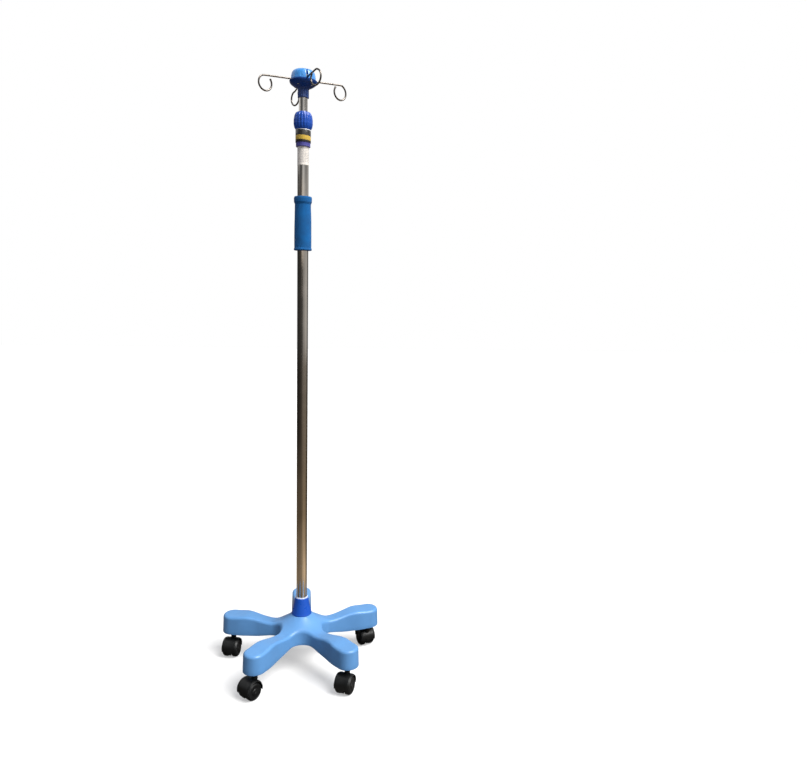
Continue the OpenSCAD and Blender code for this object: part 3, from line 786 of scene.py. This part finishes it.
def caster_matrix(number):
    """The caster's own frame: X along its axle, its wheels trailing along -Y, on the floor."""
    swivel = Vector(JOINTS[f"caster_{number}_swivel"]["pos_m"])
    roll = JOINTS[f"caster_{number}_roll_a"]
    axle = Vector(roll["axis"]).normalized()
    trail = Vector(roll["pos_m"]) - swivel
    if axle.dot(Matrix.Rotation(pi / 2, 3, "Z") @ trail) < 0:
        axle = -axle
    turn = Matrix.Rotation(atan2(axle.y, axle.x), 4, "Z")
    return Matrix.Translation((swivel.x, swivel.y, 0)) @ turn


def solid(name, points, faces):
    """An object to build with, which the melting removes again."""
    return in_scene(name, clean_mesh(name, points, faces))


def about_axle(points):
    """Turns lathe points from about Z to about the hood's centre line, over the axle."""
    return [(z, -TRAIL - x, WHEEL_R + HOOD_RISE + y) for x, y, z in points]


def hood_mesh():
    """The caster's hood as one moulded form: a fender over both wheels, a web between them
    and a neck round the stem, melted together by a fine remesh."""
    inner_r = HOOD_R - HOOD_WALL
    fender = rounded([
        (inner_r, -HOOD_HALF, 0.8 * MM),
        (HOOD_R - 2.4 * MM, -HOOD_HALF, 1.2 * MM),
        (HOOD_R, -HOOD_HALF + 6 * MM, 6 * MM),
        (HOOD_R, HOOD_HALF - 6 * MM, 6 * MM),
        (HOOD_R - 2.4 * MM, HOOD_HALF, 1.2 * MM),
        (inner_r, HOOD_HALF, 0.8 * MM),
    ], 6)
    first, sweep = radians(-11.7), radians(203.4)

    def drawn_in(radius, height, angle):
        """The fender's outer skin comes in towards the wheels at its two lower ends."""
        from_end = min(angle - first, first + sweep - angle)
        share = (radius - HOOD_R + HOOD_WALL) / HOOD_WALL
        return radius - 1.7 * MM * share * (1 - smooth(from_end / radians(40))), height

    points, faces = lathe(fender, 90, start=first, sweep=sweep, shape=drawn_in)
    parts = [solid("fender", about_axle(points), faces)]
    web_in, web_out, web_half = 0.3 * MM, HOOD_R - 1 * MM, 6.4 * MM
    web = rounded([(web_in, -web_half, 0), (web_out, -web_half, 0),
                   (web_out, web_half, 0), (web_in, web_half, 0)])
    points, faces = lathe(web, 72, start=radians(-38), sweep=radians(256))
    parts.append(solid("web", about_axle(points), faces))
    neck, sides = [], 48
    for k in range(sides):
        angle = tau * k / sides
        x, y = NECK_HALF_WIDTH * cos(angle), NECK_HALF_WIDTH * sin(angle)
        neck.append((x, y + (NECK_HALF_LENGTH - NECK_HALF_WIDTH) * (1 if y >= 0 else -1)))
    low, high = WHEEL_R + 24 * MM, HOOD_TOP
    points = [(x, y, z) for z in (low, high) for x, y in neck]
    faces = [(k, (k + 1) % sides, sides + (k + 1) % sides, sides + k) for k in range(sides)]
    faces += [tuple(reversed(range(sides))), tuple(range(sides, 2 * sides))]
    parts.append(solid("neck", points, faces))
    return melted(parts, voxel=0.55 * MM, passes=5)


def melted(parts, voxel, passes):
    """One smooth mesh from overlapping parts, which are removed."""
    main = parts[0]
    for other in parts[1:]:
        union = main.modifiers.new("union", "BOOLEAN")
        union.operation = "UNION"
        union.solver = "EXACT"
        union.object = other
    remesh = main.modifiers.new("remesh", "REMESH")
    remesh.mode = "VOXEL"
    remesh.voxel_size = voxel
    relax = main.modifiers.new("relax", "SMOOTH")
    relax.factor = 0.5
    relax.iterations = passes
    thin = main.modifiers.new("thin", "DECIMATE")
    thin.ratio = 0.35
    bpy.context.view_layer.update()
    seen = main.evaluated_get(bpy.context.evaluated_depsgraph_get())
    made = bpy.data.meshes.new_from_object(seen)
    for part in parts:
        bpy.data.objects.remove(part)
    return made


def wheel_mesh():
    """One wheel about the axle, inner face at the origin side, with a dished and domed face."""
    inner, width = 7.1 * MM, 17 * MM
    outer = inner + width
    corners = [
        (0.2 * MM, inner + 1 * MM, 0),
        (8 * MM, inner + 1 * MM, 0.4 * MM),
        (20 * MM, inner + 1 * MM, 0.4 * MM),
        (20.6 * MM, inner, 0.2 * MM),
        (WHEEL_R - 0.9 * MM, inner, 0.5 * MM),
        (WHEEL_R, inner + 2.2 * MM, 1.6 * MM),
        (WHEEL_R, outer - 6.4 * MM, 3.2 * MM),
        (WHEEL_R - 2.8 * MM, outer - 2.0 * MM, 3.2 * MM),
        (19.6 * MM, outer - 0.5 * MM, 0.8 * MM),
        (18.8 * MM, outer - 1.6 * MM, 0.5 * MM),
        (10.2 * MM, outer - 2.4 * MM, 1.4 * MM),
        (8.8 * MM, outer - 0.5 * MM, 0.8 * MM),
        (4 * MM, outer, 2 * MM),
        (0.2 * MM, outer, 0),
    ]
    points, faces = lathe(densified(rounded(corners), 2.5 * MM), 80)
    return points, faces


def make_casters():
    """Five casters from one hood and one wheel, each turned as it stands."""
    hood = hood_mesh()
    wheel_points, wheel_faces = wheel_mesh()
    for number in range(1, ARMS + 1):
        place = caster_matrix(number)
        data = hood.copy()
        data.transform(place)
        piece(f"caster_hood_{number}", data, "caster_nylon", f"caster_{number}",
              f"caster_{number}_hood", sharp=60)
        for side, sign in (("a", 1), ("b", -1)):
            points = [place @ Vector((sign * z, -TRAIL - x, WHEEL_R + y))
                      for x, y, z in wheel_points]
            name, body = f"caster_wheel_{number}{side}", f"caster_{number}_wheel_{side}"
            piece(name, clean_mesh(name, points, wheel_faces), "wheel_nylon", body, body)


# ---------- CAD nodes that stay ----------

def soften(name, width=0.5 * MM):
    """Rounds a CAD node's edges by modifiers alone, which leave its own mesh as it is."""
    made = frame["nodes"][name]
    weld = made.modifiers.new("weld", "WELD")
    weld.merge_threshold = SAME_POINT
    flat = made.modifiers.new("flat", "DECIMATE")
    flat.decimate_type = "DISSOLVE"
    flat.angle_limit = radians(0.5)
    bevel = made.modifiers.new("bevel", "BEVEL")
    bevel.width = width
    bevel.segments = 3
    bevel.limit_method = "ANGLE"
    bevel.angle_limit = radians(35)
    bevel.harden_normals = False


# ---------- studio ----------

SKY = 0.45
KEY_POWER = 5.0
KEY_SPREAD = radians(40)
KEY_FROM = Vector((0.48, -0.40, 0.78))
FLOOR_REACH = 14.0
FLOOR_LIFT = 0.4       # the share of plain white that the camera sees in the floor
FLOOR_FAR = 6.0        # the distance at which the floor's rings end


def compass(tree, axes):
    """The direction round the mast from 0 to 1: left 0, front 0.25, right 0.5, behind 0.75."""
    around = math(tree, "ARCTAN2", axes.outputs["Y"], axes.outputs["X"])
    return spread(tree, around, 0, 1, -pi, pi)


def make_floor():
    """A large pale floor with a faint unevenness. For reflections it glows in painted brown rings and bands, a
    painted reflection of a workshop floor.
    """
    material, tree, shader = new_material("studio_floor")
    place = object_place(tree)
    seen = node(tree, "LightPath")
    tint = ramp(tree, clouds(tree, place, 1.2, 3), [
        (0.3, srgb(247, 247, 247)),
        (0.7, srgb(252, 252, 252)),
    ])
    # Painted shade by the floor: diffuse rays see it dark grey, so it throws back little light and the stand's
    # sides stay darker, while the camera sees it pale.
    tint = blend_colours(tree, seen.outputs["Is Diffuse Ray"], tint, srgb(84, 84, 88))
    tree.links.new(tint, shader.inputs["Base Color"])
    tree.links.new(spread(tree, clouds(tree, place, 8), 0.75, 0.85), shader.inputs["Roughness"])
    turn = compass(tree, node(tree, "SeparateXYZ", {"Vector": place}))
    distance = node(tree, "VectorMath", {0: place}, operation="LENGTH").outputs["Value"]
    # Painted reflection: an emission that only glossy rays see, brown rings and compass bands that the steel shows
    # as a reflected floor.
    reflection_glow = ramp(tree, spread(tree, distance, 0, 1, 0.0, FLOOR_FAR), FLOOR_RINGS)
    side = blend_colours(tree, spread(tree, distance, 0, 1, 1.6, 3.2),
                         ramp(tree, turn, FLOOR_SIDES_NEAR), ramp(tree, turn, FLOOR_SIDES_FAR))
    patches = spread(tree, clouds(tree, place, 2.5, 3), 0.7, 1.3)
    for factor in (side, patches):
        reflection_glow = blend_colours(tree, 1.0, reflection_glow, factor, "MULTIPLY")
    glowing_reflection = node(tree, "Emission", {"Color": reflection_glow, "Strength": 1.0})
    white = node(tree, "Emission", {"Color": srgb(254, 254, 254)})
    lift = math(tree, "MULTIPLY", seen.outputs["Is Camera Ray"], FLOOR_LIFT)
    lifted = blend_shaders(tree, lift, shader, white)
    mixed = blend_shaders(tree, seen.outputs["Is Glossy Ray"], lifted, glowing_reflection)
    tree.links.new(mixed.outputs[0], tree.nodes["Material Output"].inputs["Surface"])
    signs = ((-1, -1), (1, -1), (1, 1), (-1, 1))
    corners = [(x * FLOOR_REACH, y * FLOOR_REACH, 0) for x, y in signs]
    data = bpy.data.meshes.new("studio_floor")
    data.from_pydata(corners, [], [(0, 1, 2, 3)])
    data.materials.append(material)
    in_scene("studio_floor", data)


def blend_shaders(tree, share, first, second):
    """The first shader node with a share of the second one."""
    made = node(tree, "MixShader", {"Fac": share})
    tree.links.new(first.outputs[0], made.inputs[1])
    tree.links.new(second.outputs[0], made.inputs[2])
    return made


def grey(value, warmth=0.0):
    """A linear grey, turned towards brown by warmth, or towards blue where that is below 0."""
    return (value, value * (1 - 0.30 * warmth), value * (1 - 0.62 * warmth), 1.0)


# The painted reflection that glossy rays see glowing in the floor: its colour by share of
# FLOOR_FAR, and what that is multiplied by in each direction of the compass, near the mast and far from it.
FLOOR_RINGS = [
    (0.00, grey(0.20, 0.2)),
    (0.055, grey(0.22, 0.3)),
    (0.085, grey(0.72, 0.80)),
    (0.19, grey(0.28, 0.85)),
    (0.40, grey(0.20, 0.65)),
    (1.00, grey(0.17, 0.45)),
]
FLOOR_SIDES_NEAR = [
    (0.00, grey(0.42)),
    (0.12, grey(0.40)),
    (0.22, grey(0.50)),
    (0.36, grey(1.12)),
    (0.50, grey(0.90)),
    (0.56, grey(0.16)),
    (0.62, grey(0.16)),
    (0.68, grey(0.80)),
    (0.79, grey(1.00)),
    (0.85, grey(0.60)),
    (0.89, grey(0.36)),
    (0.95, grey(0.40)),
]
FLOOR_SIDES_FAR = [
    (0.00, grey(0.09)),
    (0.12, grey(0.22)),
    (0.20, grey(0.36)),
    (0.27, grey(0.90)),
    (0.36, grey(1.20)),
    (0.50, grey(1.15)),
    (0.56, grey(0.16)),
    (0.62, grey(0.16)),
    (0.68, grey(0.80)),
    (0.79, grey(1.00)),
    (0.85, grey(0.60)),
    (0.89, grey(0.12)),
    (0.95, grey(0.12)),
]
# What reflections see of the room by direction of the compass: level, a little up, and higher.
ROOM_LEVEL = [
    (0.00, grey(0.03, 0.2)),
    (0.12, grey(0.05, 0.2)),
    (0.24, grey(0.08, 0.1)),
    (0.29, grey(0.28, 0.1)),
    (0.38, grey(0.44, 0.1)),
    (0.49, grey(0.60, 0.1)),
    (0.56, grey(0.14, 0.0)),
    (0.63, grey(0.14, 0.0)),
    (0.69, grey(0.55, 0.0)),
    (0.79, grey(0.60, 0.0)),
    (0.84, grey(0.25, 0.0)),
    (0.89, grey(0.03, 0.1)),
]
ROOM_RAISED = [
    (0.00, grey(0.05, 0.35)),
    (0.12, grey(0.10, 0.45)),
    (0.165, grey(0.12, 0.45)),
    (0.20, grey(0.92, 0.35)),
    (0.27, grey(0.76, 0.30)),
    (0.38, grey(0.50, 0.10)),
    (0.47, grey(0.40, 0.05)),
    (0.60, grey(0.55, 0.0)),
    (0.75, grey(0.55, 0.0)),
    (0.82, grey(0.35, 0.1)),
    (0.88, grey(0.03, 0.1)),
]
ROOM_HIGH = [
    (0.00, grey(0.50, -0.1)),
    (0.04, grey(0.26, -0.1)),
    (0.12, grey(0.08, -0.2)),
    (0.20, grey(0.16, -0.2)),
    (0.24, grey(0.72, -0.1)),
    (0.30, grey(0.64, -0.1)),
    (0.38, grey(0.28, -0.1)),
    (0.50, grey(0.26, -0.1)),
    (0.60, grey(0.70, 0.0)),
    (0.75, grey(0.50, 0.0)),
    (0.90, grey(0.85, 0.0)),
]


def make_world():
    """White for the camera, soft and dim for diffuse light, and a banded room for reflections."""
    world = bpy.data.worlds.new("studio")
    world.use_nodes = True
    bpy.context.scene.world = world
    tree = world.node_tree
    tree.nodes.clear()
    way = node(tree, "TexCoord").outputs["Generated"]
    axes = node(tree, "SeparateXYZ", {"Vector": way})
    turn = compass(tree, axes)
    room = ramp(tree, turn, ROOM_LEVEL)
    for bands, low, high in ((ROOM_RAISED, 0.13, 0.16), (ROOM_HIGH, 0.25, 0.30)):
        share = spread(tree, axes.outputs["Z"], 0, 1, low, high)
        room = blend_colours(tree, share, room, ramp(tree, turn, bands))
    seen = node(tree, "LightPath")
    to_camera = node(tree, "Background", {"Color": (1, 1, 1, 1), "Strength": 1.0})
    to_gloss = node(tree, "Background", {"Color": room, "Strength": 1.0})
    to_rest = node(tree, "Background", {"Color": srgb(250, 250, 255), "Strength": SKY})
    inner = blend_shaders(tree, seen.outputs["Is Glossy Ray"], to_rest, to_gloss)
    outer = blend_shaders(tree, seen.outputs["Is Camera Ray"], inner, to_camera)
    result = node(tree, "OutputWorld")
    tree.links.new(outer.outputs[0], result.inputs["Surface"])


def make_lights():
    """One broad soft key from above, in front and to the right."""
    data = bpy.data.lights.new("key", "SUN")
    data.energy = KEY_POWER
    data.angle = KEY_SPREAD
    data.color = (1.0, 0.99, 0.97)
    lamp = in_scene("key", data)
    lamp.location = KEY_FROM * 3
    lamp.rotation_euler = (-KEY_FROM).to_track_quat("-Z", "Y").to_euler()


def make_camera():
    """The viewpoint: chest high and two metres away, a little turned, tipped and rolled."""
    distance, height = 2.0287, 1.1075
    turn, tip, roll = 0.1482, 0.1176, 0.0209
    right = Vector((cos(turn), -sin(turn), 0))
    ahead = Vector((sin(turn) * cos(tip), cos(turn) * cos(tip), -sin(tip)))
    up = right.cross(ahead)
    rolled_right = right * cos(roll) + up * sin(roll)
    rolled_up = up * cos(roll) - right * sin(roll)
    data = bpy.data.cameras.new("camera")
    data.lens = 30.44
    data.sensor_width = 36
    data.clip_end = 100
    camera = in_scene("camera", data)
    axes = Matrix((rolled_right, rolled_up, -ahead)).transposed().to_4x4()
    camera.matrix_world = Matrix.Translation((0, -distance, height)) @ axes
    bpy.context.scene.camera = camera


# ---------- the stand ----------

repaint_cad_nodes()
make_base_cover()
make_collar()
make_tube("mast_outer_tube", "outer_tube", 1.2 * MM, "base")
make_tube("mast_inner_tube", "inner_tube", 1.0 * MM, "upper_mast")
make_grip()
make_label()
make_band()
make_knob()
for hook_side in ("right", "back", "left", "front"):
    make_hook(hook_side)
make_casters()
for cad_name in ("head_body", "head_cap"):
    soften(cad_name)
make_floor()
make_world()
make_lights()
make_camera()

scene = bpy.context.scene
scene.view_settings.view_transform = "Standard"
scene.view_settings.look = "None"
